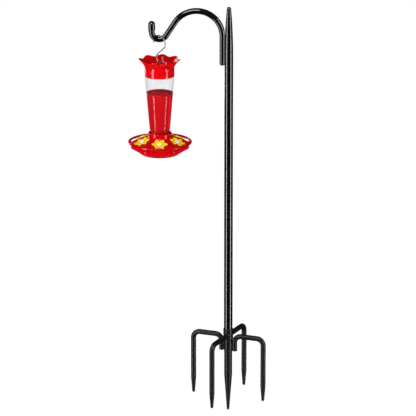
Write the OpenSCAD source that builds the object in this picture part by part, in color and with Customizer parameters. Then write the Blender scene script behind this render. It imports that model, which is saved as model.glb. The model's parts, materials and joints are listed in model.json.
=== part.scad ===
// Bird feeder hanging from a garden shepherd's hook with a five-prong ground base.
// The pole, its base and its hook are painted steel. The feeder is moulded plastic:
// a petal-shaped cap with a water moat, a clear bottle, and a hexagonal feeding tray
// with six flower ports and a perch ring. A wire S-hook joins the two.
// Frame: origin on the pole's axis at ground level, +Z up. The hook reaches along -X,
// and the arms of the base lie on the ground plane.

/* [Pole] */

// Outer radius of the pole tube
pole_r = 9.5; // [8:0.5:10]
// Wall of the pole tube
pole_wall = 1.2; // [1:0.1:2]
// Height of the seam where the two pole sections screw together
joint_z = 340; // [200:10:450]
// Height above ground where the pole starts to narrow
taper_z = 640; // [620:5:660]
// Length of the narrowing top
taper_len = 108; // [90:2:120]
// Radius of the rounded top
tip_r = 5; // [3:0.2:6]

/* [Ground base] */

// Radius of the bent prong rods
prong_r = 5.8; // [4.5:0.1:5.8]
// Distance from the pole's axis to a prong's outer leg
prong_reach = 83; // [75:1:110]
// Depth of a prong's outer leg below ground level
prong_depth = 139.4; // [110:5:180]
// Centreline radius of the prong bends
prong_bend = 15; // [12:1:18]
// Depth of a prong's short inner leg below ground level
inner_leg_depth = 29.5; // [26:0.5:45]
// Turn of the first pair of prongs about the pole
prong_turn = -21; // [-90:1:90]
// Angle from the first pair of prongs to the second pair
pair_angle = 85; // [80:1:90]
// Depth of the central spike's tip below ground level
spike_depth = 170.8; // [150:5:220]
// Length of the spike's tapered point
spike_point = 84.4; // [50:1:100]

/* [Crook] */

// Radius of the crook rod
rod_r = 6.5; // [5:0.5:6.5]
// Height of the rod's lower end, beside the pole
leg_low_z = 623.9; // [600:5:630]
// Height of the centre of the big arch
arch_z = 688; // [680:2:700]
// Centreline radius of the big arch
arch_r = 56; // [50:1:70]
// Turn of the big arch, from the upright leg to the straight run
arch_turn = 147; // [140:1:150]
// Length of the straight run between the arch and the seat
run_len = 35.05; // [30:1:60]
// Centreline radius of the seat that the feeder hangs in
seat_r = 16.7; // [15:0.5:20]
// Height of the upturned end above the seat's centre
end_len = 23.9; // [20:1:40]

/* [S-hook] */

// Radius of the S-hook wire
wire_r = 1.4; // [1:0.1:1.6]
// Turn of the S-hook's plane away from the crook's plane
wire_turn = 52; // [52:1:90]

/* [Feeder] */

// Outer radius of the cap's skirt
skirt_r = 32.2; // [31:0.2:34]
// Radius at the tips of the cap's petals
petal_tip_r = 46.4; // [44:0.4:50]
// Outer radius of the bottle at its shoulder
bottle_r = 32.2; // [30:0.2:32.2]
// Outer radius of the bottle at its neck
neck_r = 22.2; // [20:0.2:22.2]
// Height of the nectar's surface
nectar_z = 563.9; // [500:5:590]
// Centre to corner of the hexagonal tray
hex_r = 64; // [62:0.5:66]
// Tube radius of the perch ring
perch_r = 2.5; // [2:0.1:3]
// Length of a flower's petal, from the flower's centre
petal_len = 17.5; // [15:0.5:18]

/* [Hidden] */

$fn = 64;

// running gap between bodies that move on each other
gap = 0.3;
// small clearance between pieces pushed together
snug = 0.05;
// overlap of cutting shapes past the faces they cut
cut = 1;
// each joint of a rod is a core that laps into both stretches, with a hairline seam around it
lap = 0.6;
seam = 0.004;

// pole
bore_r = pole_r - pole_wall;
taper_arc = (pow(taper_len, 2) + pow(pole_r - tip_r, 2)) / (2 * (pole_r - tip_r));
stud_r = 5;
stud_half = 20;
insert_len = 22;

// ground base
arm_z = prong_r;
bend_z = arm_z - prong_bend;
spike_r = pole_r - 0.1;
spike_low_r = spike_r - 0.5;
spike_step = -inner_leg_depth - 1.5;
inner_x = spike_r + prong_r + 0.1;
collar_r = pole_r + 1.5;
collar_top = 22;
prong_taper = 36;
prong_tip_r = 3.1;

// crook
leg_x = -(pole_r + rod_r - 2);
arch_x = leg_x - arch_r;
run_dir = [-sin(arch_turn), cos(arch_turn)];
run_start = [arch_x + arch_r * cos(arch_turn), arch_z + arch_r * sin(arch_turn)];
run_end = run_start + run_len * [-sin(arch_turn), cos(arch_turn)];
seat_from = arch_turn - 180;
seat_x = run_end[0] - seat_r * cos(seat_from);
seat_z = run_end[1] - seat_r * sin(seat_from);
end_r = 7.7;

// S-hook, measured from the bottom of the seat
seat_low = seat_z - seat_r;
hook_rest = 0.5;
hook_top = seat_low + rod_r + wire_r + hook_rest;
crown_r = 24;
side_r = 12;
side_a = 45;
eye_r = 10.5;
eye_low = seat_low - 51.5;
side_c = [(crown_r - side_r) * cos(side_a), hook_top - crown_r + (crown_r - side_r) * sin(side_a)];
eye_c = [0.3, eye_low + eye_r];
c_vec = eye_c - side_c;
c_dist = norm(c_vec);
c_ang = atan2(c_vec[1], c_vec[0]);
tangent_a = c_ang + acos((side_r + eye_r) / c_dist);
shank_top = side_c + side_r * [cos(tangent_a), sin(tangent_a)];
shank_low = eye_c - eye_r * [cos(tangent_a), sin(tangent_a)];

// feeder heights
loop_r = 1.6;
loop_arch = 7;
hang_z = eye_low + wire_r + gap + loop_r;
skirt_low = 600;
floor_z = 610.5;
well_z = 612;
flare_z = 619;
rim_z = 638;
cap_wall = 1.8;
mouth_z = 608.3;
mouth_r = bottle_r - 2.8;
shoulder_z = 599;
neck_z = 478;
bottle_low = 466;
wall = 1.5;
thread_h = 1.2;

// tray
edge_z = 452.5;
slope_top = 464;
collar_mouth = 474;
collar_out = neck_r + 3.3;
collar_in = neck_r + 0.7;
flat = cos(30);
slope_run = hex_r * flat - collar_out;
slope = atan((slope_top - edge_z) / slope_run);
facet_r = 43.7;
facet_z = slope_top - (facet_r - collar_out) * tan(slope);
tray_wall = 2;
lip_low = 446.5;
lip_in = hex_r - 1.4;
seat_face = 450;
perch_out = hex_r + 0.7 + perch_r;
rim_r = hex_r - 1.8;
band_r = hex_r - 0.2;
bowl_top = 449;
band_low = 437.5;
bowl_low = 425;
bowl_foot = 46;
port_r = 3.6;
eyelet_r = 4.6;
petal_t = 1.6;
sip_r = 1.6;

steel = [0.07, 0.08, 0.09];
weld = [0.1, 0.11, 0.12];
zinc = [0.7, 0.72, 0.74];
red = [0.8, 0.02, 0.03];
clear = [0.85, 0.9, 0.92, 0.35];
syrup = [0.7, 0.02, 0.04, 0.8];
yellow = [0.98, 0.8, 0.05];
white = [0.95, 0.94, 0.92];
silicone = [0.9, 0.9, 0.88];

// A rod's bend in the XZ plane: centre x and z, centreline radius, rod radius, start and turn
module bend(x, z, centreline, rod, from, turn) {
    translate([x, 0, z])
        rotate([90, 0, 0])
            rotate([0, 0, from])
                rotate_extrude(angle = turn, $fn = 96)
                    translate([centreline, 0])
                        circle(r = rod, $fn = 48);
}

// A straight rod in the XZ plane from point a to point b, joined to a bend at each end
module straight(a, b, rod) {
    run = b - a;
    translate([a[0], 0, a[1]])
        rotate([0, 90 - atan2(run[1], run[0]), 0]) {
            translate([0, 0, seam])
                cylinder(r = rod, h = norm(run) - 2 * seam, $fn = 48);
            translate([0, 0, -lap])
                cylinder(r = 0.8 * rod, h = norm(run) + 2 * lap, $fn = 48);
        }
}

module at_feeder() {
    translate([seat_x, 0, 0])
        children();
}

// The plane of facet i of the tray, origin on its surface, +X outwards, +Z along its normal
module on_facet(i) {
    at_feeder()
        rotate([0, 0, 60 * i - 90])
            translate([facet_r, 0, facet_z])
                rotate([0, slope, 0])
                    children();
}

// ---- ground base ----

module spike() {
    tip = [[0, -spike_depth], [1.8, -spike_depth], [2.8, -spike_depth + 1.2]];
    color(steel)
        rotate_extrude()
            polygon(concat(tip, [
                [spike_low_r, -spike_depth + spike_point], [spike_low_r, spike_step],
                [spike_r, spike_step], [spike_r, 0],
                [bore_r - snug, 0], [bore_r - snug, 24],
                [bore_r - snug - 1, 25], [0, 25]
            ]));
}

module base_collar() {
    color(steel)
        rotate_extrude()
            polygon([
                [pole_r + snug, -1.5], [collar_r, -1.5], [collar_r, collar_top - 0.8],
                [collar_r - 0.7, collar_top], [pole_r + snug, collar_top]
            ]);
}

// Places a prong: the first and third point one way and its opposite, as do the second and fourth
module at_prong(i) {
    rotate([0, 0, prong_turn + 180 * floor((i - 1) / 2) + pair_angle * ((i - 1) % 2)])
        children();
}

// The pointed outer leg and the bend at its top
module outer_leg() {
    point_z = -prong_depth + prong_taper;
    translate([prong_reach, 0, 0])
        rotate_extrude()
            polygon([
                [0, -prong_depth], [1.8, -prong_depth], [prong_tip_r, -prong_depth + 1.2],
                [prong_r, point_z], [prong_r, bend_z - seam],
                [prong_r - 1, bend_z - seam], [prong_r - 1, bend_z + lap], [0, bend_z + lap]
            ]);
    bend(prong_reach - prong_bend, bend_z, prong_bend, prong_r, 0, 90);
}

// A prong of the first pair turns down again beside the spike
module legged_prong(i) {
    color(steel)
        at_prong(i) {
            outer_leg();
            straight([inner_x + prong_bend, arm_z], [prong_reach - prong_bend, arm_z], prong_r);
            bend(inner_x + prong_bend, bend_z, prong_bend, prong_r, 90, 90);
            straight([inner_x, lap - inner_leg_depth], [inner_x, bend_z], prong_r);
        }
}

// A prong of the second pair runs straight up to the collar
module straight_prong(i) {
    color(steel)
        at_prong(i)
            difference() {
                union() {
                    outer_leg();
                    straight([0, arm_z], [prong_reach - prong_bend, arm_z], prong_r);
                }
                translate([0, 0, -prong_r])
                    cylinder(r = collar_r + snug, h = 4 * prong_r);
            }
}

module prong_welds() {
    bead_r = 1.8;
    color(weld) {
        for (i = [1, 3], side = [-1, 1])
            at_prong(i)
                difference() {
                    translate([spike_r + 0.2, side * 3, 2 - inner_leg_depth])
                        cylinder(r = bead_r, h = 16);
                    translate([0, 0, -inner_leg_depth])
                        cylinder(r = spike_r, h = 20);
                    translate([inner_x, 0, -inner_leg_depth])
                        cylinder(r = prong_r, h = 20);
                }
        for (i = [2, 4])
            at_prong(i)
                difference() {
                    translate([collar_r - 1, 0, arm_z])
                        rotate([0, 90, 0])
                            cylinder(r1 = prong_r + bead_r - 0.5, r2 = prong_r + 0.2, h = 3);
                    translate([0, 0, -prong_r])
                        cylinder(r = collar_r, h = 4 * prong_r);
                    translate([0, 0, arm_z])
                        rotate([0, 90, 0])
                            cylinder(r = prong_r, h = 30);
                }
    }
}

// ---- pole ----

module lower_pole() {
    color(steel)
        difference() {
            cylinder(r = pole_r, h = joint_z);
            translate([0, 0, -cut])
                cylinder(r = bore_r, h = joint_z + 2 * cut);
        }
}

module threaded_insert(z) {
    color(zinc)
        translate([0, 0, z])
            difference() {
                cylinder(r = bore_r - snug, h = insert_len);
                translate([0, 0, -cut])
                    cylinder(r = stud_r + snug, h = insert_len + 2 * cut);
            }
}

module joint_stud() {
    color(zinc)
        translate([0, 0, joint_z - stud_half])
            rotate_extrude()
                polygon([
                    [0, 0], [stud_r - 1, 0], [stud_r, 1], [stud_r, 2 * stud_half - 1],
                    [stud_r - 1, 2 * stud_half], [0, 2 * stud_half]
                ]);
}

// The upper section is closed by a drawn-down, rounded top
module upper_pole() {
    color(steel)
        rotate_extrude() {
            translate([bore_r, joint_z])
                square([pole_wall, taper_z - joint_z]);
            intersection() {
                translate([pole_r - taper_arc, taper_z])
                    circle(r = taper_arc, $fn = 720);
                translate([0, taper_z])
                    square([pole_r, taper_len]);
            }
            intersection() {
                translate([0, taper_z + taper_len])
                    circle(r = tip_r);
                translate([0, taper_z + taper_len])
                    square([tip_r, tip_r]);
            }
        }
}

// ---- crook ----

module crook() {
    color(steel)
        difference() {
            union() {
                translate([leg_x, 0, leg_low_z])
                    rotate_extrude() {
                        leg_len = arch_z - leg_low_z;
                        square([rod_r - 4, leg_len - seam]);
                        translate([0, 4])
                            square([rod_r, leg_len - 4 - seam]);
                        intersection() {
                            translate([rod_r - 4, 4])
                                circle(r = 4);
                            translate([rod_r - 4, 0])
                                square([4, 4]);
                        }
                        translate([0, leg_len - 1])
                            square([rod_r - 1, 1 + lap]);
                    }
                bend(arch_x, arch_z, arch_r, rod_r, 0, arch_turn);
                straight(run_start, run_end, rod_r);
                bend(seat_x, seat_z, seat_r, rod_r, 180, 180 + seat_from);
                translate([seat_x - seat_r, 0, seat_z])
                    rotate_extrude() {
                        polygon([
                            [0, -lap], [rod_r - 1, -lap], [rod_r - 1, seam], [rod_r, seam], [end_r, 5],
                            [end_r, end_len - end_r], [0, end_len - end_r]
                        ]);
                        intersection() {
                            translate([0, end_len - end_r])
                                circle(r = end_r);
                            translate([0, end_len - end_r])
                                square([end_r, end_r]);
                        }
                    }
            }
            translate([0, 0, leg_low_z - cut])
                cylinder(r = pole_r, h = arch_z - leg_low_z + 22);
        }
}

// Two beads along the corner between the crook's leg and the pole
module crook_welds() {
    color(weld)
        for (side = [-1, 1])
            difference() {
                translate([-pole_r + 0.1, side * 4.2, leg_low_z + 4])
                    cylinder(r = 2.2, h = 60);
                translate([0, 0, leg_low_z])
                    cylinder(r = pole_r, h = 70);
                translate([leg_x, 0, leg_low_z])
                    cylinder(r = rod_r, h = 70);
            }
}

// ---- S-hook ----

// A straight stretch of wire from point a to point b, a hair thicker than the bends it laps into
module wire_run(a, b) {
    run = b - a;
    over = 0.4;
    translate([a[0], 0, a[1]])
        rotate([0, 90 - atan2(run[1], run[0]), 0])
            translate([0, 0, -over])
                cylinder(r = wire_r + 0.02, h = norm(run) + 2 * over, $fn = 48);
}

module s_hook() {
    // where the crown's bend meets the two tighter bends, and the turn left free for the joint
    meet = crown_r * [cos(side_a), sin(side_a)] + [0, hook_top - crown_r];
    along = 0.1 * [-sin(side_a), cos(side_a)];
    turn = 1;
    color(zinc)
        at_feeder()
            rotate([0, 0, -wire_turn]) {
                bend(-side_c[0], side_c[1], side_r, wire_r, 180 - side_a + turn, 62 - turn);
                mirror([1, 0, 0])
                    wire_run(meet - along, meet + along);
                bend(0, hook_top - crown_r, crown_r, wire_r, side_a + turn / 2,
                     180 - 2 * side_a - turn);
                wire_run(meet - along, meet + along);
                bend(side_c[0], side_c[1], side_r, wire_r, tangent_a, side_a - turn - tangent_a);
                wire_run(shank_low, shank_top);
                bend(eye_c[0], eye_c[1], eye_r, wire_r, tangent_a + 180, 202 - tangent_a);
            }
}

// ---- cap ----

module petal_outline() {
    circle(r = petal_tip_r - 5);
    for (i = [0 : 7])
        rotate([0, 0, 45 * i - 7])
            translate([petal_tip_r - 16, 0])
                circle(r = 16);
}

module flower_cap() {
    color(red)
        at_feeder() {
            rotate_extrude()
                polygon([
                    [0, floor_z], [skirt_r - cap_wall, floor_z], [skirt_r - cap_wall, skirt_low],
                    [skirt_r, skirt_low], [skirt_r, flare_z], [skirt_r - cap_wall, flare_z],
                    [skirt_r - cap_wall, well_z], [0, well_z]
                ]);
            intersection() {
                rotate_extrude()
                    polygon([
                        [skirt_r - cap_wall, flare_z], [skirt_r, flare_z],
                        [skirt_r + 4.3, flare_z + 9], [petal_tip_r, rim_z - 0.6],
                        [petal_tip_r, rim_z], [petal_tip_r - 1.2, rim_z],
                        [skirt_r + 2.6, flare_z + 10]
                    ]);
                translate([0, 0, flare_z])
                    linear_extrude(rim_z - flare_z)
                        petal_outline();
            }
            rotate([0, 0, 90 - wire_turn])
                hang_loop();
        }
}

// The loop stands across the S-hook, on the floor of the moat
module hang_loop() {
    bend(0, hang_z - loop_arch, loop_arch, loop_r, 0, 180);
    for (side = [-1, 1])
        straight([side * loop_arch, well_z], [side * loop_arch, hang_z - loop_arch], loop_r);
}

module cap_gasket() {
    color(silicone)
        at_feeder()
            translate([0, 0, mouth_z])
                difference() {
                    cylinder(r = mouth_r + 0.2, h = floor_z - mouth_z - gap);
                    translate([0, 0, -cut])
                        cylinder(r = mouth_r - 2.8, h = 5);
                }
}

// ---- bottle ----

// The flange round the neck stops the bottle on the tray's collar
module bottle() {
    flange_z = collar_mouth + gap;
    flange_out = 1.8;
    color(clear)
        at_feeder()
            rotate_extrude()
                polygon([
                    [neck_r - wall, bottle_low], [neck_r, bottle_low], [neck_r, bottle_low + 4],
                    [neck_r + 0.4, bottle_low + 4.6], [neck_r + 0.4, bottle_low + 5.4],
                    [neck_r, bottle_low + 6], [neck_r, flange_z],
                    [neck_r + flange_out, flange_z + 0.4], [neck_r + flange_out, flange_z + 2.4],
                    [neck_r, flange_z + 2.8], [neck_r, neck_z], [bottle_r, shoulder_z],
                    [mouth_r, shoulder_z + 0.6], [mouth_r, mouth_z - 5],
                    [mouth_r + 0.6, mouth_z - 4.4], [mouth_r + 0.6, mouth_z - 3.6],
                    [mouth_r, mouth_z - 3], [mouth_r, mouth_z], [mouth_r - wall, mouth_z],
                    [mouth_r - wall, shoulder_z], [bottle_r - wall - 0.2, shoulder_z - 2],
                    [neck_r - wall, neck_z]
                ]);
}

// The bottle's inner radius at height z on its sloping wall
function inner_r(z) = neck_r - wall
    + (bottle_r - 0.2 - neck_r) * (z - neck_z) / (shoulder_z - 2 - neck_z);

module nectar() {
    color(syrup)
        at_feeder()
            rotate_extrude()
                polygon([
                    [0, bottle_low], [neck_r - wall - snug, bottle_low],
                    [neck_r - wall - snug, neck_z], [inner_r(nectar_z) - snug, nectar_z],
                    [0, nectar_z]
                ]);
}

// ---- tray ----

module neck_seal() {
    color(silicone)
        at_feeder()
            translate([0, 0, slope_top + 0.2])
                difference() {
                    cylinder(r = neck_r + 0.2, h = bottle_low - slope_top - 0.2);
                    translate([0, 0, -cut])
                        cylinder(r = neck_r - 4, h = 5);
                }
}

// A hexagonal frustum with corners on the X axis
module hex(z0, z1, r0, r1) {
    translate([0, 0, z0])
        cylinder(r1 = r0, r2 = r1, h = z1 - z0, $fn = 6);
}

module tray_cover() {
    drop = tray_wall / cos(slope);
    color(red)
        difference() {
            at_feeder() {
                hex(lip_low, edge_z, hex_r, hex_r);
                hex(edge_z, slope_top, hex_r, collar_out / flat);
                translate([0, 0, slope_top - 1])
                    cylinder(r = collar_out, h = collar_mouth - slope_top + 1);
            }
            at_feeder() {
                hex(lip_low - cut, seat_face, lip_in, lip_in);
                hex(seat_face - 0.5, slope_top - drop, lip_in - 3, collar_out / flat);
                translate([0, 0, slope_top - drop - cut])
                    cylinder(r = 16, h = 6);
                translate([0, 0, slope_top])
                    cylinder(r = collar_in, h = collar_mouth - slope_top + cut);
            }
            for (i = [0 : 5])
                on_facet(i)
                    translate([0, 0, -6])
                        cylinder(r = port_r + snug, h = 8);
        }
}

module perch_ring() {
    color(red)
        at_feeder()
            difference() {
                union() {
                    translate([0, 0, edge_z])
                        rotate_extrude($fn = 128)
                            translate([perch_out, 0])
                                circle(r = perch_r, $fn = 32);
                    for (i = [0 : 5])
                        rotate([0, 0, 60 * i])
                            translate([hex_r - 2, -2.5, edge_z - 1.8])
                                cube([perch_out - hex_r + 2, 5, 3.4]);
                }
                hex(lip_low, edge_z + 5, hex_r, hex_r);
            }
}

// A pointed petal is where two equal circles overlap
module petal_2d() {
    half = (petal_len + 1.5) / 2;
    width = 11;
    arc = (pow(half, 2) + pow(width / 2, 2)) / width;
    translate([half - 1.5, 0])
        intersection() {
            translate([0, arc - width / 2])
                circle(r = arc);
            translate([0, width / 2 - arc])
                circle(r = arc);
        }
}

module flower(i) {
    color(yellow)
        on_facet(i)
            linear_extrude(petal_t)
                difference() {
                    union() {
                        circle(r = 7.4);
                        for (k = [0 : 5])
                            rotate([0, 0, 60 * k + 30])
                                petal_2d();
                    }
                    circle(r = eyelet_r + snug);
                }
}

// The port is a plug with a sipping hole, pushed through the flower and the cover
module port(i) {
    color(white)
        on_facet(i)
            difference() {
                rotate_extrude()
                    polygon([
                        [0, -4], [port_r - 0.6, -4], [port_r, -3.2], [port_r, 0],
                        [eyelet_r, 0], [eyelet_r, petal_t + snug], [eyelet_r + 0.7, petal_t + snug],
                        [eyelet_r + 0.5, petal_t + 0.9], [eyelet_r - 1, petal_t + 1.5],
                        [0, petal_t + 1.5]
                    ]);
                translate([0, 0, -5])
                    cylinder(r = sip_r, h = 10, $fn = 32);
            }
}

module bowl() {
    color(red)
        at_feeder()
            difference() {
                union() {
                    hex(band_low, bowl_top, rim_r, rim_r);
                    hex(band_low, lip_low - gap, band_r, band_r);
                    hex(bowl_low, band_low, bowl_foot, band_r);
                }
                hex(band_low, bowl_top + cut, rim_r - 2.3, rim_r - 2.3);
                hex(bowl_low + 2, band_low, bowl_foot - 1.5, rim_r - 2.3);
            }
}

module bowl_seal() {
    color(silicone)
        at_feeder()
            difference() {
                hex(bowl_top, seat_face - gap, rim_r - 0.1, rim_r - 0.1);
                hex(bowl_top - cut, seat_face + cut, rim_r - 2.6, rim_r - 2.6);
            }
}

spike();
base_collar();
legged_prong(1);  // prong_1
straight_prong(2);  // prong_2
legged_prong(3);  // prong_3
straight_prong(4);  // prong_4
prong_welds();
lower_pole();
threaded_insert(joint_z - insert_len);  // lower_insert
joint_stud();
threaded_insert(joint_z);  // upper_insert
upper_pole();
crook();
crook_welds();
s_hook();
flower_cap();
cap_gasket();
bottle();
nectar();
neck_seal();
tray_cover();
perch_ring();
flower(0);  // flower_1
flower(1);  // flower_2
flower(2);  // flower_3
flower(3);  // flower_4
flower(4);  // flower_5
flower(5);  // flower_6
port(0);  // port_1
port(1);  // port_2
port(2);  // port_3
port(3);  // port_4
port(4);  // port_5
port(5);  // port_6
bowl();
bowl_seal();
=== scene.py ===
import json
import math

import bmesh
import bpy
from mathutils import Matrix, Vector


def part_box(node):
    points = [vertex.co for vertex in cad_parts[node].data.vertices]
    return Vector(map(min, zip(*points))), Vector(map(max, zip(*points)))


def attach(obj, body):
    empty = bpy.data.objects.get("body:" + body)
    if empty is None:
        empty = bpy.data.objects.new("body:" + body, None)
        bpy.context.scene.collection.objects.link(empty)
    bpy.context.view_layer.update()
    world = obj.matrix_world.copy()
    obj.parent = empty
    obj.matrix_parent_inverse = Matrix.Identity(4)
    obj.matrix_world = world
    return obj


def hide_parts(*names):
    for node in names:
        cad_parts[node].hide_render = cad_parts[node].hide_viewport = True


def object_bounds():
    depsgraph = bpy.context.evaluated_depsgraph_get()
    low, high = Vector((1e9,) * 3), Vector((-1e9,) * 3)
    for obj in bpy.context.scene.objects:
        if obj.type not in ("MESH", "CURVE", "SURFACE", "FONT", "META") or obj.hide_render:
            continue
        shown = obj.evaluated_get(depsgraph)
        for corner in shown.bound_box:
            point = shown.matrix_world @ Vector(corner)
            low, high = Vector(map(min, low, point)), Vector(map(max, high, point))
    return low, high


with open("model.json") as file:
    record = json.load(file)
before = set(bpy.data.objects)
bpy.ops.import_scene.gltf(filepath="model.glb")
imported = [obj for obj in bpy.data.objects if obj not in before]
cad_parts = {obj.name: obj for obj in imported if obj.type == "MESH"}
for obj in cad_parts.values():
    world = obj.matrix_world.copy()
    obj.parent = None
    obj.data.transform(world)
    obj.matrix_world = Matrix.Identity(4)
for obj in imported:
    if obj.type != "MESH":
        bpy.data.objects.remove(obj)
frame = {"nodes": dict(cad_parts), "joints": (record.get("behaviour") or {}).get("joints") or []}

# Lengths are metres in the CAD's frame: +Z up along the pole, the viewer on the -Y side.
CAD_BOX = [list(corner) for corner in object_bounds()]
NODES = frame["nodes"]
MM = 0.001


def middle(node):
    lo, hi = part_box(node)
    return [(a + b) / 2 for a, b in zip(lo, hi)]


FEEDER_X = middle("bottle")[0]
UP = Vector((0, 0, 1))
TURN = 2 * math.pi
HALF_TURN = math.pi
QUARTER_TURN = math.pi / 2
SIXTH_TURN = math.pi / 3  # from one side of a hexagon to the next
ROUND_STEPS = 192  # segments round the cap, tray and bowl
BOTTLE_STEPS = 160  # segments round the bottle and its nectar


# ---------------------------------------------------------------- camera, floor and light

VIEW_TARGET = Vector((-0.0451, 0.0, 0.3015))
VIEW_ELEVATION = math.radians(16.5)
VIEW_DISTANCE = 5.94
VIEW_LENS = 233.65
SENSOR_WIDTH = 36
SKY = 0.6
BELOW_HORIZON = 0.01
FADE_FROM, FADE_TO = -0.12, -0.06  # the sky's fade, as the Z of the direction looked in
STRIP_REACH = 1.3
STRIP_ANGLE = math.radians(58)
STRIP_Z = 0.25
STRIP_SIZE, STRIP_WATTS = (0.28, 2.3), 18.5
FLOOR_HALF = 60
FLOOR_GAP = 0.0005
FLOOR_GREY = 0.02


def add_camera():
    data = bpy.data.cameras.new("camera")
    data.lens = VIEW_LENS
    data.sensor_width = SENSOR_WIDTH
    data.clip_end = 100
    cam = bpy.data.objects.new("camera", data)
    back = Vector((0, -math.cos(VIEW_ELEVATION), math.sin(VIEW_ELEVATION)))
    cam.location = VIEW_TARGET + VIEW_DISTANCE * back
    cam.rotation_euler = (QUARTER_TURN - VIEW_ELEVATION, 0, 0)
    bpy.context.scene.collection.objects.link(cam)
    bpy.context.scene.camera = cam


def add_softbox(name, place, aim, size, watts):
    """A white area light that the camera doesn't see, only what it lights."""
    data = bpy.data.lights.new(name, "AREA")
    data.shape = "RECTANGLE"
    data.size, data.size_y = size
    data.energy = watts
    lamp = bpy.data.objects.new(name, data)
    lamp.location = place
    lamp.rotation_euler = (Vector(aim) - Vector(place)).to_track_quat("-Z", "Y").to_euler()
    lamp.visible_camera = False
    bpy.context.scene.collection.objects.link(lamp)


def add_world():
    """A soft white sky; below the horizon it is dark, which keeps the black paint black."""
    world = bpy.data.worlds.new("studio")
    world.use_nodes = True
    tree = world.node_tree
    background = tree.nodes["Background"]
    split = tree.nodes.new("ShaderNodeSeparateXYZ")
    fade = tree.nodes.new("ShaderNodeMapRange")
    for key, value in (("From Min", FADE_FROM), ("From Max", FADE_TO),
                       ("To Min", BELOW_HORIZON), ("To Max", SKY)):
        fade.inputs[key].default_value = value
    coords = tree.nodes.new("ShaderNodeTexCoord")
    tree.links.new(coords.outputs["Generated"], split.inputs["Vector"])
    tree.links.new(split.outputs["Z"], fade.inputs["Value"])
    tree.links.new(fade.outputs["Result"], background.inputs["Strength"])
    bpy.context.scene.world = world


def add_lights():
    # two tall strips give the pole its pair of soft vertical highlights
    for side in (-1, 1):
        place = (side * STRIP_REACH * math.sin(STRIP_ANGLE),
                 -STRIP_REACH * math.cos(STRIP_ANGLE), STRIP_Z)
        add_softbox("strip_" + "lr"[side > 0], place, (0, 0, STRIP_Z), STRIP_SIZE, STRIP_WATTS)
    add_softbox("key", (-0.6, -1.8, 2.7), (-0.1, 0, 0.5), (1.8, 0.9), 50)
    add_softbox("back", (-1.1, 1.3, 0.7), (-0.15, 0, 0.5), (0.25, 1.2), 7)


def add_floor():
    """A plain floor that glows evenly, so that it is white without lighting up the edges of what
    stands before it. Gloss doesn't see it."""
    mesh = bpy.data.meshes.new("floor")
    low = CAD_BOX[0][2] - FLOOR_GAP
    corners = [(x * FLOOR_HALF, y * FLOOR_HALF, low)
               for x, y in ((-1, -1), (1, -1), (1, 1), (-1, 1))]
    mesh.from_pydata(corners, [], [(0, 1, 2, 3)])
    floor = bpy.data.objects.new("floor", mesh)
    bpy.context.scene.collection.objects.link(floor)
    mat = bpy.data.materials.new("floor")
    mat.use_nodes = True
    shader = mat.node_tree.nodes["Principled BSDF"]
    shader.inputs["Base Color"].default_value = (FLOOR_GREY, FLOOR_GREY, FLOOR_GREY, 1)
    shader.inputs["Roughness"].default_value = 0.9
    shader.inputs["Specular IOR Level"].default_value = 0.0
    shader.inputs["Emission Color"].default_value = (1, 1, 1, 1)
    shader.inputs["Emission Strength"].default_value = 1.0
    mesh.materials.append(mat)
    floor.visible_glossy = False


# ---------------------------------------------------------------- materials

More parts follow.
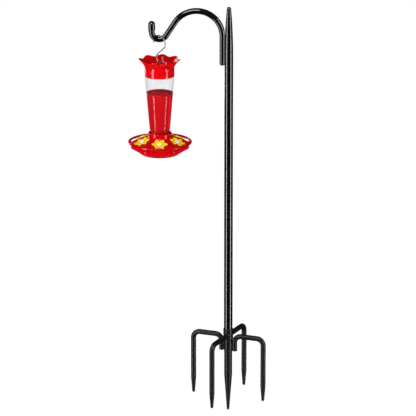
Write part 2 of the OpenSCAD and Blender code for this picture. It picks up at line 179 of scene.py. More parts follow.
class Finish:
    """A Principled material with small helpers for procedural detail, in object space."""

    def __init__(self, name, colour, roughness, **sockets):
        self.mat = bpy.data.materials.new(name)
        self.mat.use_nodes = True
        self.tree = self.mat.node_tree
        self.shader = self.tree.nodes["Principled BSDF"]
        self.shader.inputs["Base Color"].default_value = (*colour, 1)
        self.shader.inputs["Roughness"].default_value = roughness
        for key, value in sockets.items():
            self.shader.inputs[key.replace("_", " ")].default_value = value
        self.coords = self.node("ShaderNodeTexCoord").outputs["Object"]
        self.height = None

    def node(self, kind, **settings):
        node = self.tree.nodes.new(kind)
        for key, value in settings.items():
            if key in node.inputs:
                node.inputs[key].default_value = value
            else:
                setattr(node, key, value)
        return node

    def link(self, a, b):
        self.tree.links.new(a, b)

    def noise(self, scale, detail=3.0, rough=0.5, stretch=(1, 1, 1)):
        mapping = self.node("ShaderNodeMapping")
        mapping.inputs["Scale"].default_value = stretch
        self.link(self.coords, mapping.inputs["Vector"])
        noise = self.node("ShaderNodeTexNoise")
        noise.inputs["Scale"].default_value = scale
        noise.inputs["Detail"].default_value = detail
        noise.inputs["Roughness"].default_value = rough
        self.link(mapping.outputs["Vector"], noise.inputs["Vector"])
        return noise.outputs["Fac"]

    def spread(self, fac, low, high, from_low=0.3, from_high=0.7):
        """A number that runs from low to high as fac does from from_low to from_high."""
        node = self.node("ShaderNodeMapRange")
        for key, value in (("From Min", from_low), ("From Max", from_high),
                           ("To Min", low), ("To Max", high)):
            node.inputs[key].default_value = value
        self.link(fac, node.inputs["Value"])
        return node.outputs["Result"]

    def blend(self, fac, low, high):
        """A colour between low and high, which are colours or sockets."""
        node = self.node("ShaderNodeMix", data_type="RGBA")
        self.link(fac, node.inputs["Factor"])
        for value, socket in ((low, node.inputs[6]), (high, node.inputs[7])):
            if isinstance(value, tuple):
                socket.default_value = (*value, 1)
            else:
                self.link(value, socket)
        return node.outputs[2]

    def math(self, operation, a, b):
        node = self.node("ShaderNodeMath", operation=operation)
        for value, socket in ((a, node.inputs[0]), (b, node.inputs[1])):
            if isinstance(value, (int, float)):
                socket.default_value = value
            else:
                self.link(value, socket)
        return node.outputs[0]

    def colour(self, socket):
        self.link(socket, self.shader.inputs["Base Color"])

    def alpha(self, socket):
        self.link(socket, self.shader.inputs["Alpha"])

    def roughness(self, socket):
        self.link(socket, self.shader.inputs["Roughness"])

    def bump(self, fac, depth_mm, strength=1.0):
        """Adds height to the surface; several calls add up."""
        node = self.node("ShaderNodeBump")
        node.inputs["Strength"].default_value = strength
        node.inputs["Distance"].default_value = depth_mm * MM
        self.link(fac, node.inputs["Height"])
        if self.height is not None:
            self.link(self.height, node.inputs["Normal"])
        self.height = node.outputs["Normal"]
        self.link(self.height, self.shader.inputs["Normal"])


def powder_coat(name, colour, scuffed, rough=(0.09, 0.15), gloss=1.0):
    """Powder coat: fine orange peel, a soft mottle, scratches and dust by the share scuffed."""
    f = Finish(name, colour, rough[0], Specular_IOR_Level=gloss)
    mottle = f.noise(55, 4)
    dark = tuple(0.8 * c for c in colour)
    base = f.blend(f.spread(mottle, 0, 1), dark, colour)
    scratches = f.spread(f.noise(420, 2, 0.6, (1, 1, 0.08)), 0, 1, 0.66, 0.78)
    scratches = f.math("MULTIPLY", scratches, scuffed)
    dust = f.math("MULTIPLY", f.spread(f.noise(140, 5, 0.65), 0, 1, 0.5, 0.75), scuffed)
    base = f.blend(dust, base, (0.06, 0.063, 0.066))
    base = f.blend(f.math("MULTIPLY", scratches, 0.6), base, (0.12, 0.12, 0.12))
    f.colour(base)
    worn = f.math("MULTIPLY", dust, 0.2)
    f.roughness(f.math("ADD", f.spread(mottle, *rough), worn))
    f.bump(f.noise(760, 2), 0.03, 0.15)
    f.bump(f.noise(150, 3), 0.06, 0.1)
    return f.mat


def weld_coat(name):
    """Powder coat over a weld: rougher, with spatter."""
    f = Finish(name, (0.008, 0.009, 0.01), 0.35, Specular_IOR_Level=0.4)
    mottle = f.noise(300, 4)
    f.colour(f.blend(f.spread(mottle, 0, 1), (0.005, 0.0055, 0.006), (0.016, 0.017, 0.019)))
    f.roughness(f.spread(mottle, 0.28, 0.5))
    f.bump(f.noise(900, 3), 0.12, 0.4)
    return f.mat


def bright_wire(name, colour=(0.36, 0.36, 0.37), metal=0.5):
    """Drawn steel wire: lengthwise die lines, and a dull film in places."""
    f = Finish(name, colour, 0.35, Metallic=metal)
    film = f.noise(260, 4)
    f.colour(f.blend(f.spread(film, 0, 1), colour, tuple(0.72 * c for c in colour)))
    f.roughness(f.spread(film, 0.28, 0.5))
    f.bump(f.noise(2600, 2, 0.5, (1, 1, 0.15)), 0.02, 0.35)
    return f.mat


def red_plastic(name, glow=0.18):
    """Glossy red polystyrene that lets some light through, with faint moulding flow marks."""
    f = Finish(name, (0.67, 0.0, 0.004), 0.1, Transmission_Weight=glow, IOR=1.5,
               Specular_IOR_Level=0.3)
    f.shader.inputs["Subsurface Weight"].default_value = 0.2
    f.shader.inputs["Subsurface Radius"].default_value = (1.0, 0.1, 0.08)
    f.shader.inputs["Subsurface Scale"].default_value = 4 * MM
    flow = f.noise(34, 4, 0.55, (1, 1, 2.5))
    f.colour(f.blend(f.spread(flow, 0, 1), (0.6, 0.0, 0.002), (0.74, 0.0, 0.005)))
    smear = f.noise(120, 5, 0.6)
    # rougher where it turns away, so that a strip seen at a glance doesn't burn out a facet
    away = f.node("ShaderNodeLayerWeight", Blend=0.5).outputs["Facing"]
    glance = f.math("MULTIPLY", f.math("POWER", away, 4.0), 0.75)
    f.roughness(f.math("ADD", f.spread(smear, 0.06, 0.2), glance))
    f.bump(f.noise(26, 3, 0.5, (1, 1, 1.8)), 0.25, 0.12)
    f.bump(f.noise(1400, 2), 0.012, 0.2)
    return f.mat


def clear_plastic(name):
    """Thin clear plastic: almost open face on, greyer and more solid where it turns away."""
    f = Finish(name, (0.04, 0.042, 0.045), 0.04, IOR=1.5)
    haze = f.noise(90, 4, 0.6)
    f.roughness(f.spread(haze, 0.02, 0.09))
    f.colour(f.blend(f.spread(haze, 0, 1), (0.03, 0.032, 0.034), (0.05, 0.052, 0.055)))
    away = f.node("ShaderNodeLayerWeight", Blend=0.5).outputs["Facing"]
    edge = f.math("MULTIPLY", f.math("POWER", away, 3.0), 0.25)
    f.alpha(f.math("ADD", edge, f.spread(haze, 0.04, 0.06)))
    f.bump(f.noise(40, 2, 0.5, (1, 1, 0.4)), 0.12, 0.15)
    return f.mat


def nectar_fill(name):
    """Clear red syrup with a faint swirl."""
    f = Finish(name, (0.75, 0.0, 0.004), 0.02, Transmission_Weight=0.4, IOR=1.33)
    swirl = f.noise(22, 3, 0.5)
    f.colour(f.blend(f.spread(swirl, 0, 1), (0.62, 0.0, 0.003), (0.76, 0.0, 0.006)))
    f.roughness(f.spread(swirl, 0.05, 0.1))
    f.bump(f.noise(15, 1), 0.03, 0.1)
    return f.mat


def petal_plastic(name):
    """Satin yellow plastic with a painted shade, a deeper orange towards each flower's eye and down
    each petal's groove, and a fine grain.
    """
    f = Finish(name, (0.95, 0.66, 0.02), 0.35, Coat_Weight=0.2, Coat_Roughness=0.2)
    f.shader.inputs["Subsurface Weight"].default_value = 0.15
    f.shader.inputs["Subsurface Radius"].default_value = (1.0, 0.6, 0.1)
    f.shader.inputs["Subsurface Scale"].default_value = 2 * MM
    # painted shade, carried on the mesh: a deeper orange round each flower's eye and down each
    # petal's groove; the noise patches add random tone
    painted_shade = f.node("ShaderNodeAttribute", attribute_name="painted_shade").outputs["Fac"]
    patch = f.noise(240, 4)
    shade_and_patch = f.math("ADD", painted_shade, f.spread(patch, -0.18, 0.18))
    f.colour(f.blend(f.spread(shade_and_patch, 0, 1, 0.0, 1.0), (1.0, 0.8, 0.0), (1.0, 0.46, 0.0)))
    f.roughness(f.spread(patch, 0.26, 0.45))
    f.bump(f.noise(1500, 2), 0.03, 0.3)
    return f.mat


def white_plastic(name):
    """Satin white plastic with a little grime."""
    f = Finish(name, (0.92, 0.91, 0.89), 0.3, Coat_Weight=0.2)
    grime = f.noise(420, 4)
    f.colour(f.blend(f.spread(grime, 0, 1), (0.86, 0.85, 0.82), (0.95, 0.94, 0.92)))
    f.roughness(f.spread(grime, 0.22, 0.4))
    f.bump(f.noise(1600, 2), 0.02, 0.3)
    return f.mat


def soft_silicone(name):
    """Matt, milky silicone rubber."""
    f = Finish(name, (0.84, 0.84, 0.81), 0.55)
    cloud = f.noise(300, 3)
    f.colour(f.blend(f.spread(cloud, 0, 1), (0.78, 0.78, 0.74), (0.88, 0.88, 0.86)))
    f.roughness(f.spread(cloud, 0.45, 0.65))
    f.bump(f.noise(900, 2), 0.03, 0.3)
    return f.mat


MATERIALS = {
    "pole": powder_coat("pole_coat", (0.002, 0.0021, 0.0023), 0.03),
    # the base's coat is lighter and bluer than the pole's: a painted sheen on the same black powder
    # coat
    "base": powder_coat("base_coat", (0.005, 0.0065, 0.0078), 0.1, (0.29, 0.36), 0.33),
    "weld": weld_coat("weld_coat"),
    "wire": bright_wire("hook_wire"),
    "zinc": bright_wire("zinc_plate", (0.7, 0.71, 0.73), 1.0),
    "red": red_plastic("red_plastic"),
    "ring": red_plastic("ring_plastic", 0.65),
    "clear": clear_plastic("clear_plastic"),
    "nectar": nectar_fill("nectar"),
    "yellow": petal_plastic("yellow_plastic"),
    "white": white_plastic("white_plastic"),
    "silicone": soft_silicone("silicone"),
}


# ---------------------------------------------------------------- building blocks

def make_object(name, bm, material, body):
    """Turns a bmesh into a smooth-shaded piece that rides on a body."""
    bmesh.ops.remove_doubles(bm, verts=bm.verts, dist=1e-7)
    bmesh.ops.recalc_face_normals(bm, faces=bm.faces)
    mesh = bpy.data.meshes.new(name)
    bm.to_mesh(mesh)
    bm.free()
    obj = bpy.data.objects.new(name, mesh)
    bpy.context.scene.collection.objects.link(obj)
    mesh.materials.append(MATERIALS[material])
    for face in mesh.polygons:
        face.use_smooth = True
    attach(obj, body)
    return obj


def loft(bm, rings, closed=False):
    """Skins a list of rings, each a list of points, or one point where the skin closes."""
    made = [[bm.verts.new(p) for p in ring] for ring in rings]
    pairs = list(zip(made, made[1:]))
    if closed:
        pairs.append((made[-1], made[0]))
    for low, high in pairs:
        count = max(len(low), len(high))
        for i in range(count):
            j = (i + 1) % count
            if len(low) == 1:
                bm.faces.new((low[0], high[j], high[i]))
            elif len(high) == 1:
                bm.faces.new((low[i], low[j], high[0]))
            else:
                bm.faces.new((low[i], low[j], high[j], high[i]))


def rounded(points, radius, steps=4):
    """A polyline's corners rounded: each inner corner becomes a short curve."""
    points = [Vector(p) for p in points]
    out = [points[0]]
    for before, corner, after in zip(points, points[1:], points[2:]):
        reach = min(radius, 0.45 * (before - corner).length, 0.45 * (after - corner).length)
        a = corner + (before - corner).normalized() * reach
        b = corner + (after - corner).normalized() * reach
        for k in range(steps + 1):
            t = k / steps
            out.append((1 - t) ** 2 * a + 2 * t * (1 - t) * corner + t * t * b)
    out.append(points[-1])
    return out


def revolve_rings(profile, segments):
    """Rings about the feeder's axis from a profile of (radius, height) in metres."""
    rings = []
    for r, z in profile:
        if r < 1e-9:
            rings.append([(FEEDER_X, 0, z)])
            continue
        angles = [TURN * i / segments for i in range(segments)]
        rings.append([(FEEDER_X + r * math.cos(a), r * math.sin(a), z) for a in angles])
    return rings


def tube(bm, path, radius, sides=20):
    """A closed round rod along a list of points; radius is a number or one number per point."""
    path = [Vector(p) for p in path]
    radii = radius if isinstance(radius, list) else [radius] * len(path)
    normal = None
    rings = []
    for i, point in enumerate(path):
        ahead = path[min(i + 1, len(path) - 1)] - path[max(i - 1, 0)]
        ahead.normalize()
        if normal is None:
            helper = UP if abs(ahead.z) < 0.9 else Vector((1, 0, 0))
            normal = ahead.cross(helper).normalized()
        normal = (normal - ahead * normal.dot(ahead)).normalized()
        side = ahead.cross(normal)
        rings.append([point + radii[i] * (math.cos(TURN * k / sides) * normal
                                          + math.sin(TURN * k / sides) * side)
                      for k in range(sides)])
    loft(bm, [[path[0]]] + rings + [[path[-1]]])


def directions(turn):
    """The horizontal directions outward at an angle and across it."""
    return (Vector((math.cos(turn), math.sin(turn), 0)),
            Vector((-math.sin(turn), math.cos(turn), 0)))


def hex_radius(angle, flat, corner):
    """Radius of a hexagon with corners on the X axis, flats this far out and rounded corners."""
    corner = min(corner, flat)
    from_flat = abs((angle % SIXTH_TURN) - SIXTH_TURN / 2)
    half_side = (flat - corner) * math.tan(SIXTH_TURN / 2)
    if from_flat <= math.atan2(half_side, flat):
        return flat / math.cos(from_flat)
    reach = (flat - corner) / math.cos(SIXTH_TURN / 2)
    beta = SIXTH_TURN / 2 - from_flat
    return reach * math.cos(beta) + math.sqrt(max(corner ** 2 - (reach * math.sin(beta)) ** 2, 0))


def hex_ring(flat, corner, z):
    """A level ring about the feeder's axis, a hexagon or, when corner is flat, a circle."""
    ring = []
    for i in range(ROUND_STEPS):
        angle = TURN * i / ROUND_STEPS
        r = hex_radius(angle, flat, corner)
        ring.append((FEEDER_X + r * math.cos(angle), r * math.sin(angle), z))
    return ring


# ---------------------------------------------------------------- the cap

CAP_LO, CAP_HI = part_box("flower_cap")
SKIRT_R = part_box("cap_gasket")[1][0] - FEEDER_X + 2.6 * MM
TIP_R = (CAP_HI[0] - CAP_LO[0]) / 2
PETALS = 8
PETAL_TURN = math.radians(-7)
NOTCH_R = 41.0 * MM
NOTCH_DEPTH = 3.4 * MM
CAP_WALL = 1.8 * MM
RIM_THIN = 1.2 * MM  # how far the flared wall's inner side closes in on its outer side
CAP_STEPS = 22
LOOP_ROD, LOOP_ARCH = 1.6 * MM, 7 * MM
LEG_STEPS, ARCH_STEPS = 8, 32
FLOOR_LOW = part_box("cap_gasket")[1][2] + 0.3 * MM
WELL_Z = FLOOR_LOW + 1.5 * MM
FLARE_Z = WELL_Z + 7 * MM
WELL_R = SKIRT_R - CAP_WALL


def petal_wave(angle):
    """1 at the middle of a petal, 0 in the notch between two."""
    wave = 0.5 + 0.5 * math.cos(PETALS * (angle - PETAL_TURN))
    return wave ** 0.8


def cap_ring(base_r, base_z, lift, thin):
    """A ring of the flared wall: lift runs from 0 at its foot to 1 at the rim."""
    ring = []
    for i in range(ROUND_STEPS):
        angle = TURN * i / ROUND_STEPS
        wave = petal_wave(angle)
        rim_r = NOTCH_R + (TIP_R - NOTCH_R) * wave
        rim_z = CAP_HI[2] - NOTCH_DEPTH * (1 - wave)
        r = base_r + (rim_r - base_r - thin) * lift ** 1.55
        z = base_z + (rim_z - base_z) * lift
        ring.append((FEEDER_X + r * math.cos(angle), r * math.sin(angle), z))
    return ring


def build_cap():
    """The cap in one moulding: skirt, petals, moat and hanging loop."""
    bm = bmesh.new()
    low = CAP_LO[2]
    skirt = rounded([(0, FLOOR_LOW), (WELL_R, FLOOR_LOW), (WELL_R, low), (SKIRT_R, low),
                     (SKIRT_R, FLARE_Z)], 0.5 * MM)
    rings = revolve_rings(skirt, ROUND_STEPS)
    for k in range(1, CAP_STEPS + 1):
        rings.append(cap_ring(SKIRT_R, FLARE_Z, k / CAP_STEPS, 0))
    rings.append(cap_ring(SKIRT_R, FLARE_Z, 1, 0.35 * MM))
    for k in range(CAP_STEPS, 0, -1):
        lift = k / CAP_STEPS
        rings.append(cap_ring(WELL_R, FLARE_Z, lift, RIM_THIN * lift))
    inner = rounded([(WELL_R, FLARE_Z), (WELL_R, WELL_Z), (0, WELL_Z)], 1.2 * MM)
    rings += revolve_rings(inner, ROUND_STEPS)
    loft(bm, rings)
    hang_loop(bm)
    cap = make_object("petal_cap", bm, "red", "cap")
    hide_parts("flower_cap")


def hang_loop(bm):
    """The loop that the S-hook goes through: an arch on two legs with flared feet."""
    hinge = next(j for j in frame["joints"] if j["name"] == "feeder_swing")
    across = Vector(hinge["axis"]).normalized()
    centre = Vector((FEEDER_X, 0, hinge["pos_m"][2] - LOOP_ARCH))
    foot = centre.z - WELL_Z
    path, radii = [], []
    for k in range(LEG_STEPS + 1):
        t = k / LEG_STEPS
        path.append(centre + across * LOOP_ARCH - foot * (1 - t) * UP)
        radii.append(LOOP_ROD * (1 + 0.7 * (1 - t) ** 4))
    for k in range(1, ARCH_STEPS):
        a = HALF_TURN * k / ARCH_STEPS
        path.append(centre + LOOP_ARCH * (math.cos(a) * across + math.sin(a) * UP))
        radii.append(LOOP_ROD)
    for k in range(LEG_STEPS + 1):
        t = k / LEG_STEPS
        path.append(centre - across * LOOP_ARCH - foot * t * UP)
        radii.append(LOOP_ROD * (1 + 0.7 * t ** 4))
    tube(bm, path, radii)


# ---------------------------------------------------------------- bottle and nectar

BOTTLE_LO, BOTTLE_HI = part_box("bottle")
BOTTLE_R = (BOTTLE_HI[0] - BOTTLE_LO[0]) / 2
NECTAR_LO, NECTAR_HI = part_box("nectar")
NECK_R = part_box("neck_seal")[1][0] - FEEDER_X - 0.2 * MM
NECK_Z = BOTTLE_LO[2] + 12 * MM
FLANGE_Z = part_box("tray_cover")[1][2] + 0.3 * MM
SHOULDER_Z = BOTTLE_HI[2] - 9.3 * MM
SLOPE_HIGH = SHOULDER_Z - 2.5 * MM
WALL = 1.5 * MM
THIN_WALL = 0.6 * MM
THINNING = 4 * MM
FLANGE_R = NECK_R + 1.8 * MM
SLOPE_R = NECK_R + 0.1 * MM  # outer radius at the foot of the slope
THREAD_TURNS = 1.4
THREAD_PITCH = 3 * MM
THREAD_STEPS = 72  # in one turn
NECTAR_PLAY = 0.04 * MM
MENISCUS = 0.9 * MM


def thread(bm, radius, z, height):
    """A moulded screw thread: a low ridge on a helix, fading in and out at its ends."""
    path, radii = [], []
    steps = int(THREAD_TURNS * THREAD_STEPS)
    for k in range(steps + 1):
        angle = TURN * THREAD_TURNS * k / steps
        fade = min(1, 12 * min(k / steps, 1 - k / steps) + 0.05)
        path.append((FEEDER_X + radius * math.cos(angle), radius * math.sin(angle),
                     z + THREAD_PITCH * THREAD_TURNS * k / steps))
        radii.append(height * fade)
    tube(bm, path, radii, 8)


def build_bottle():
    """The clear shell, and the two threads at its mouth and neck as a second piece."""
    top_r = BOTTLE_R - 2.8 * MM
    bm = bmesh.new()
    profile = rounded([
        (NECK_R - WALL, NECK_Z), (NECK_R - WALL, BOTTLE_LO[2]), (NECK_R, BOTTLE_LO[2]),
        (NECK_R, FLANGE_Z), (FLANGE_R, FLANGE_Z), (FLANGE_R, FLANGE_Z + 2.8 * MM),
        (NECK_R, FLANGE_Z + 3 * MM), (SLOPE_R, NECK_Z + 0.3 * MM),
        (BOTTLE_R, SHOULDER_Z), (top_r, SHOULDER_Z + 0.7 * MM),
        (top_r, BOTTLE_HI[2]), (top_r - WALL, BOTTLE_HI[2]), (top_r - WALL, SHOULDER_Z),
        *((inner_radius(z), z) for z in (SLOPE_HIGH, NECK_Z + THINNING, NECK_Z)),
    ], 1.0 * MM, 5)
    loft(bm, revolve_rings(profile, BOTTLE_STEPS), closed=True)
    bottle = make_object("bottle_shell", bm, "clear", "bottle")
    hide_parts("bottle")
    threads = bmesh.new()
    thread(threads, top_r, BOTTLE_HI[2] - 7 * MM, 0.55 * MM)
    thread(threads, NECK_R, BOTTLE_LO[2] + 3 * MM, 0.4 * MM)
    ridges = make_object("bottle_threads", threads, "clear", "bottle")


def inner_radius(z):
    """The bottle's inner radius on its slope. The wall thins above the neck, so that the nectar
    fills the bottle to the eye, as it does through a clear wall."""
    outer = SLOPE_R + (BOTTLE_R - SLOPE_R) * (z - NECK_Z) / (SHOULDER_Z - NECK_Z)
    return outer - WALL + (WALL - THIN_WALL) * min(1, (z - NECK_Z) / THINNING)


def build_nectar():
    """The nectar, which fills the bottle up to a surface with a small meniscus."""
    bm = bmesh.new()
    low, top = NECTAR_LO[2], NECTAR_HI[2]
    edge = inner_radius(top) - NECTAR_PLAY
    foot_r = NECK_R - WALL - NECTAR_PLAY
    profile = [(0, low), (foot_r - 0.3 * MM, low), (foot_r, low + 0.3 * MM)]
    slope_steps = 12
    for k in range(slope_steps + 1):
        z = NECK_Z + (top - 0.1 * MM - NECK_Z) * k / slope_steps
        profile.append((inner_radius(z) - NECTAR_PLAY, z))
    # the meniscus climbs the wall a little
    edge_steps = 8
    for k in range(1, edge_steps + 1):
        away = k / edge_steps
        profile.append((edge - 3.0 * MM * away, top - MENISCUS * (1 - (1 - away) ** 3)))
    profile.append((0, top - MENISCUS))
    loft(bm, revolve_rings(profile, BOTTLE_STEPS))
    nectar = make_object("nectar_fill", bm, "nectar", "bottle")
    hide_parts("nectar")


# ---------------------------------------------------------------- tray

COVER_LO, COVER_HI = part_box("tray_cover")
HEX_FLAT = (COVER_HI[1] - COVER_LO[1]) / 2
EDGE_Z = middle("perch_ring")[2]
SLOPE_TOP = COVER_HI[2] - 10 * MM
COLLAR_R = NECK_R + 3.3 * MM
FLARE = 4.5 * MM
COLLAR_IN = NECK_R + 0.7 * MM
SLOPE = math.atan((SLOPE_TOP - EDGE_Z) / (HEX_FLAT - COLLAR_R))
CORNER = 2.5 * MM  # radius of the hexagon's outer corners
INNER_CORNER = CORNER - 1 * MM
FACET_R = 43.7 * MM  # from the feeder's axis to the middle of a flower
FACET_Z = SLOPE_TOP - (FACET_R - COLLAR_R) * math.tan(SLOPE)
FLOWERS = 6
COVER_WALL = 2 * MM
LIP_WALL = 1.2 * MM
BEVEL = 0.9 * MM
PASSAGE_R = 16 * MM  # the hole that nectar falls through into the bowl
PORT_HOLE_R = 3.65 * MM


def facet_frame(i):
    """Origin, and downhill, sideways and normal directions, of facet i's plane."""
    out, side = directions(math.radians(60 * i - 90))
    down_slope = math.cos(SLOPE) * out - math.sin(SLOPE) * UP
    normal = math.sin(SLOPE) * out + math.cos(SLOPE) * UP
    origin = Vector((FEEDER_X, 0, FACET_Z)) + FACET_R * out
    return origin, down_slope, side, normal


def slope_ring(flat, drop=0.0):
    """A ring on the cover's slope: hexagonal at the edge, round at the collar."""
    t = min(1, max(0, (HEX_FLAT - flat) / (HEX_FLAT - COLLAR_R - FLARE)))
    corner = CORNER + (flat - CORNER) * t ** 2.2
    z = EDGE_Z + (HEX_FLAT - flat) * math.tan(SLOPE) - drop
    return hex_ring(flat, corner, z)


def build_cover():
    """The tray's cover: lip, bevel, slope, flared foot and collar, then back along the inside."""
    drop = COVER_WALL / math.cos(SLOPE)
    lip = HEX_FLAT - LIP_WALL
    low, top = COVER_LO[2], COVER_HI[2]
    bevel_z = EDGE_Z - 1.0 * MM
    rings = [hex_ring(HEX_FLAT - 0.4 * MM, CORNER, low), hex_ring(HEX_FLAT, CORNER, low + 0.4 * MM),
             hex_ring(HEX_FLAT, CORNER, bevel_z)]
    bevel_steps, slope_steps, flare_steps, under_steps = 4, 16, 8, 12
    for k in range(1, bevel_steps + 1):
        a = QUARTER_TURN * k / bevel_steps
        rings.append(hex_ring(HEX_FLAT - BEVEL * (1 - math.cos(a)), CORNER,
                              bevel_z + BEVEL * math.sin(a)))
    edge = HEX_FLAT - 1.6 * MM
    for k in range(slope_steps + 1):
        rings.append(slope_ring(edge + (COLLAR_R + FLARE - edge) * k / slope_steps))
    foot = rings[-1][0][2]
    flare_rise = 1.4 * FLARE
    for k in range(1, flare_steps + 1):
        a = QUARTER_TURN * k / flare_steps
        r = COLLAR_R + FLARE * (1 - math.sin(a))
        rings.append(hex_ring(r, r, foot + flare_rise * (1 - math.cos(a))))
    collar = rounded([(COLLAR_R, foot + flare_rise), (COLLAR_R, top), (COLLAR_IN, top),
                      (COLLAR_IN, SLOPE_TOP), (PASSAGE_R, SLOPE_TOP), (PASSAGE_R, SLOPE_TOP - drop),
                      (COLLAR_R - 1 * MM, SLOPE_TOP - drop)], 0.8 * MM)
    rings += revolve_rings(collar[1:], ROUND_STEPS)
    for k in range(1, under_steps + 1):
        rings.append(slope_ring(COLLAR_R + (lip - 2 * MM - COLLAR_R) * k / under_steps, drop))
    rings += [hex_ring(lip, INNER_CORNER, EDGE_Z - 2.5 * MM),
              hex_ring(lip, INNER_CORNER, low + 0.3 * MM),
              hex_ring(lip + 0.3 * MM, INNER_CORNER, low)]
    bm = bmesh.new()
    loft(bm, rings, closed=True)
    cover = make_object("cover_shell", bm, "red", "tray")
    drill_ports(cover)
    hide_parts("tray_cover")


def drill_ports(cover):
    """Cuts the six port holes through the cover."""
    cutter_bm = bmesh.new()
    for i in range(FLOWERS):
        origin, _, _, normal = facet_frame(i)
        tube(cutter_bm, [origin - 6 * MM * normal, origin + 3 * MM * normal], PORT_HOLE_R, 32)
    bmesh.ops.remove_doubles(cutter_bm, verts=cutter_bm.verts, dist=1e-7)
    bmesh.ops.recalc_face_normals(cutter_bm, faces=cutter_bm.faces)
    mesh = bpy.data.meshes.new("cutter")
    cutter_bm.to_mesh(mesh)
    cutter_bm.free()
    cutter = bpy.data.objects.new("cutter", mesh)
    bpy.context.scene.collection.objects.link(cutter)
    cut = cover.modifiers.new("ports", "BOOLEAN")
    cut.operation = "DIFFERENCE"
    cut.solver = "EXACT"
    cut.object = cutter
    bpy.context.view_layer.update()
    evaluated = cover.evaluated_get(bpy.context.evaluated_depsgraph_get())
    drilled = bpy.data.meshes.new_from_object(evaluated)
    cover.modifiers.clear()
    cover.data = drilled
    bpy.data.objects.remove(cutter)


PETAL_LENGTH, PETAL_WIDTH, PETAL_ROOT = 17.5 * MM, 11 * MM, 1.5 * MM
EYE_R = 4.7 * MM  # a flower's inner edge, round its port
# the second width is how wide the painted shade runs along each petal's groove
GROOVE_WIDTH, GROOVE_SHADE_WIDTH = 0.9 * MM, 1.0 * MM
FLOWER_STEPS, FLOWER_ROWS = 144, 14
FLOWER_THICKNESS = 1.4 * MM


def off_petal(angle):
    """The angle to the nearest petal's middle; two of the six petals point sideways."""
    return abs((angle % SIXTH_TURN) - SIXTH_TURN / 2)


def petal_outline(angle):
    """A flower's radius at an angle: each pointed petal is the overlap of two circles."""
    phi = off_petal(angle)
    half = (PETAL_LENGTH + PETAL_ROOT) / 2
    arc = (half ** 2 + (PETAL_WIDTH / 2) ** 2) / PETAL_WIDTH
    cx, cy = half - PETAL_ROOT, PETAL_WIDTH / 2 - arc
    b = -2 * (cx * math.cos(phi) + cy * math.sin(phi))
    c = cx ** 2 + cy ** 2 - arc ** 2
    return (-b + math.sqrt(b * b - 4 * c)) / 2


def petal_height(r, phi, reach):
    """Height of a petal's top over the facet: it rises outwards, grooved and with a raised edge."""
    t = (r - EYE_R) / (PETAL_LENGTH - EYE_R)
    groove = 0.45 * math.exp(-(phi * r / GROOVE_WIDTH) ** 2) * math.sin(math.pi * min(max(t, 0), 1))
    cup = 0.9 * max(0, r / reach - 0.55) ** 1.5
    return (1.35 + 1.0 * t * t - groove + cup) * MM


def build_flower(i):
    """A six-petalled flower: cupped petals with a raised edge and a groove down each middle."""
    origin, out, side, normal = facet_frame(i - 1)
    bm = bmesh.new()
    painted_shade = bm.verts.layers.float.new("painted_shade")

    def point(r, angle, z):
        return origin + r * math.cos(angle) * out + r * math.sin(angle) * side + z * normal

    def top_ring(share, lift):
        made = []
        for k in range(FLOWER_STEPS):
            angle = TURN * k / FLOWER_STEPS
            reach = petal_outline(angle)
            r = EYE_R + (reach - EYE_R) * share
            phi = off_petal(angle)
            vert = bm.verts.new(point(r, angle, petal_height(r, phi, reach) + lift))
            # painted shade: deeper orange round the eye and down the middle of each petal, along
            # its groove
            groove_shade = 0.45 * math.exp(-(phi * r / GROOVE_SHADE_WIDTH) ** 2)
            vert[painted_shade] = max(0, 1 - (r - EYE_R) / (6 * MM)) + groove_shade
            made.append(vert)
        return made

    def under_ring(share):
        made = []
        for k in range(FLOWER_STEPS):
            angle = TURN * k / FLOWER_STEPS
            reach = petal_outline(angle)
            r = EYE_R + (reach - 0.4 * MM - EYE_R) * share
            z = max(petal_height(r, off_petal(angle), reach) - FLOWER_THICKNESS, 0.0)
            made.append(bm.verts.new(point(r, angle, z)))
        return made

    rings = [top_ring(k / FLOWER_ROWS, 0) for k in range(FLOWER_ROWS + 1)]
    rings.append(top_ring(1, -0.5 * MM))
    rings += [under_ring(k / FLOWER_ROWS) for k in range(FLOWER_ROWS, -1, -2)]
    for low, high in zip(rings, rings[1:] + rings[:1]):
        for k in range(FLOWER_STEPS):
            j = (k + 1) % FLOWER_STEPS
            bm.faces.new((low[k], low[j], high[j], high[k]))
    flower = make_object("flower_petals_%d" % i, bm, "yellow", "tray")
    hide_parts("flower_%d" % i)


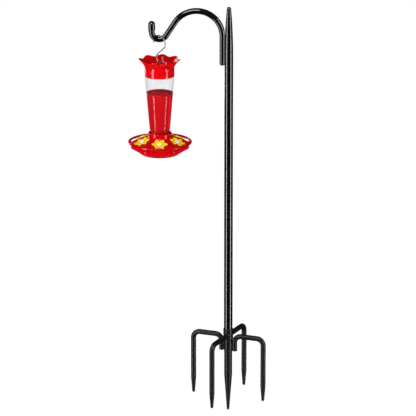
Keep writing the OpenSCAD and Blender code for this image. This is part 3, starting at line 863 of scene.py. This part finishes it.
def build_bowl():
    """A hexagonal band over a round dished bottom. The rim above the band sits inside the
    cover's lip."""
    lo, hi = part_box("bowl")
    flat = (hi[1] - lo[1]) / 2
    rim = flat - 1.4 * MM
    top, low = hi[2], lo[2]
    step = COVER_LO[2] - 0.3 * MM
    band = low + 12.5 * MM
    wall = 2 * MM
    floor_r, floor_edge_r = 33 * MM, 37.5 * MM
    dish_r, dish_z = 42 * MM, band - 10.4 * MM
    dish_top_r, dish_top_z = flat - 1.0 * MM, band - 1.0 * MM
    dish_steps, turn_steps = 8, 6

    def dish(share, inset):
        """A ring between the band's hexagon and the dish's circle."""
        r = dish_top_r + (dish_r - dish_top_r) * share - inset
        corner = CORNER + (r - CORNER) * min(1, share) ** 1.5
        z = dish_top_z + (dish_z - dish_top_z) * (0.75 * share + 0.25 * share ** 2)
        return hex_ring(r, corner, z + 0.6 * inset)

    inner = [hex_ring(floor_r, floor_r, low + wall),
             hex_ring(floor_edge_r, floor_edge_r, low + wall + 0.5 * MM)]
    inner += [dish(1 - k / dish_steps, wall) for k in range(dish_steps + 1)]
    inner += [hex_ring(rim - wall, INNER_CORNER, band + 1.5 * MM),
              hex_ring(rim - wall, INNER_CORNER, top)]
    outer = [hex_ring(rim - 0.4 * MM, CORNER, top), hex_ring(rim, CORNER, top - 0.4 * MM),
             hex_ring(rim, CORNER, step), hex_ring(flat - 0.4 * MM, CORNER, step),
             hex_ring(flat, CORNER, step - 0.4 * MM), hex_ring(flat, CORNER, band + 0.8 * MM),
             hex_ring(flat - 0.25 * MM, CORNER, band - 0.1 * MM)]
    outer += [dish(k / dish_steps, 0) for k in range(dish_steps + 1)]
    for k in range(1, turn_steps + 1):
        a = QUARTER_TURN * k / turn_steps
        r = dish_r - 7 * MM * (1 - math.cos(a)) - 1 * MM * math.sin(a)
        outer.append(hex_ring(r, r, dish_z - (dish_z - low) * math.sin(a)))
    bm = bmesh.new()
    loft(bm, [[(FEEDER_X, 0, low + wall)]] + inner + outer + [[(FEEDER_X, 0, low)]])
    bowl = make_object("bowl_shell", bm, "red", "bowl")
    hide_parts("bowl")


# ---------------------------------------------------------------- welds

LEGGED_TURN = math.radians(-21)
PAIR_ANGLE = math.radians(85)
PRONG_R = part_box("prong_1")[1][2] / 2
BEAD_STEPS = 14  # segments round a bead
RING_STEPS, RING_RIPPLES = 144, 12
LEG_WELD = 16 * MM  # length of the beads beside an inner leg


def ripple_swell(position):
    """A bead's thickness, as a share, at a position counted in ripples."""
    return 0.84 + 0.16 * math.sqrt(max(0, 1 - (2 * (position % 1) - 1) ** 2))


def weld_bead(bm, start, end, radius, ripples):
    """A run of weld: a bead whose overlapping ripples step along it, tapering at both ends."""
    start, end = Vector(start), Vector(end)
    steps = ripples * 8
    path, radii = [], []
    for k in range(steps + 1):
        t = k / steps
        taper = min(1, 9 * min(t, 1 - t) + 0.15)
        path.append(start + (end - start) * t)
        radii.append(radius * ripple_swell(t * ripples) * math.sqrt(taper))
    tube(bm, path, radii, BEAD_STEPS)


def weld_ring(bm, turn, collar_r):
    """Weld all the way round a prong's arm where it meets the collar, with stepped ripples."""
    out, across = directions(turn)
    ring_r = PRONG_R + 0.3 * MM
    rings = []
    for k in range(RING_STEPS):
        angle = TURN * k / RING_STEPS
        y, z = ring_r * math.cos(angle), PRONG_R + ring_r * math.sin(angle)
        centre = math.sqrt(collar_r ** 2 - y * y) * out + y * across + z * UP
        away = (math.cos(angle) * across + math.sin(angle) * UP).normalized()
        swell = 1.3 * MM * ripple_swell(RING_RIPPLES * k / RING_STEPS)
        turns = [TURN * j / BEAD_STEPS for j in range(BEAD_STEPS)]
        rings.append([centre + swell * (math.cos(a) * out + math.sin(a) * away) for a in turns])
    loft(bm, rings, closed=True)


def build_welds():
    """The beads between crook and pole, and between the prongs, the spike and the collar."""
    crook_lo, crook_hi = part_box("crook_welds")
    bm = bmesh.new()
    pole_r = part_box("lower_pole")[1][0]
    x, y = -pole_r + 0.1 * MM, 4.0 * MM
    for side in (-1, 1):
        weld_bead(bm, (x, side * y, crook_lo[2]), (x, side * y, crook_hi[2]), 2.1 * MM, 26)
    beads = make_object("crook_weld_beads", bm, "weld", "stand")
    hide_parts("crook_welds")

    prong_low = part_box("prong_welds")[0][2]
    spike_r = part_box("spike")[1][0]
    collar_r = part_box("base_collar")[1][0]
    bm = bmesh.new()
    for turn in (LEGGED_TURN, LEGGED_TURN + HALF_TURN):
        out, across = directions(turn)
        for side in (-1, 1):
            foot = (spike_r + 0.2 * MM) * out + side * 3 * MM * across
            weld_bead(bm, foot + prong_low * UP, foot + (prong_low + LEG_WELD) * UP, 1.7 * MM, 7)
        weld_ring(bm, turn + PAIR_ANGLE, collar_r)
    beads = make_object("prong_weld_beads", bm, "weld", "stand")
    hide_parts("prong_welds")


# ---------------------------------------------------------------- CAD nodes that stay

KEPT = {
    "pole": ["lower_pole", "upper_pole", "crook"],
    "base": ["spike", "base_collar", "prong_1", "prong_2", "prong_3", "prong_4"],
    "wire": ["s_hook"],
    "zinc": ["lower_insert", "upper_insert", "joint_stud"],
    "silicone": ["cap_gasket", "neck_seal", "bowl_seal"],
    "ring": ["perch_ring"],
    "white": ["port_%d" % i for i in range(1, FLOWERS + 1)],
}


def finish_cad():
    """Gives each CAD node that is shown as it is its material."""
    for finish, names in KEPT.items():
        for name in names:
            node = NODES[name]
            node.data.materials.clear()
            node.data.materials.append(MATERIALS[finish])


# ---------------------------------------------------------------- the scene

add_camera()
add_world()
add_lights()
add_floor()
bpy.context.scene.view_settings.view_transform = "Standard"
finish_cad()
build_cap()
build_bottle()
build_nectar()
build_cover()
for number in range(1, FLOWERS + 1):
    build_flower(number)
build_bowl()
build_welds()

bpy.context.view_layer.update()
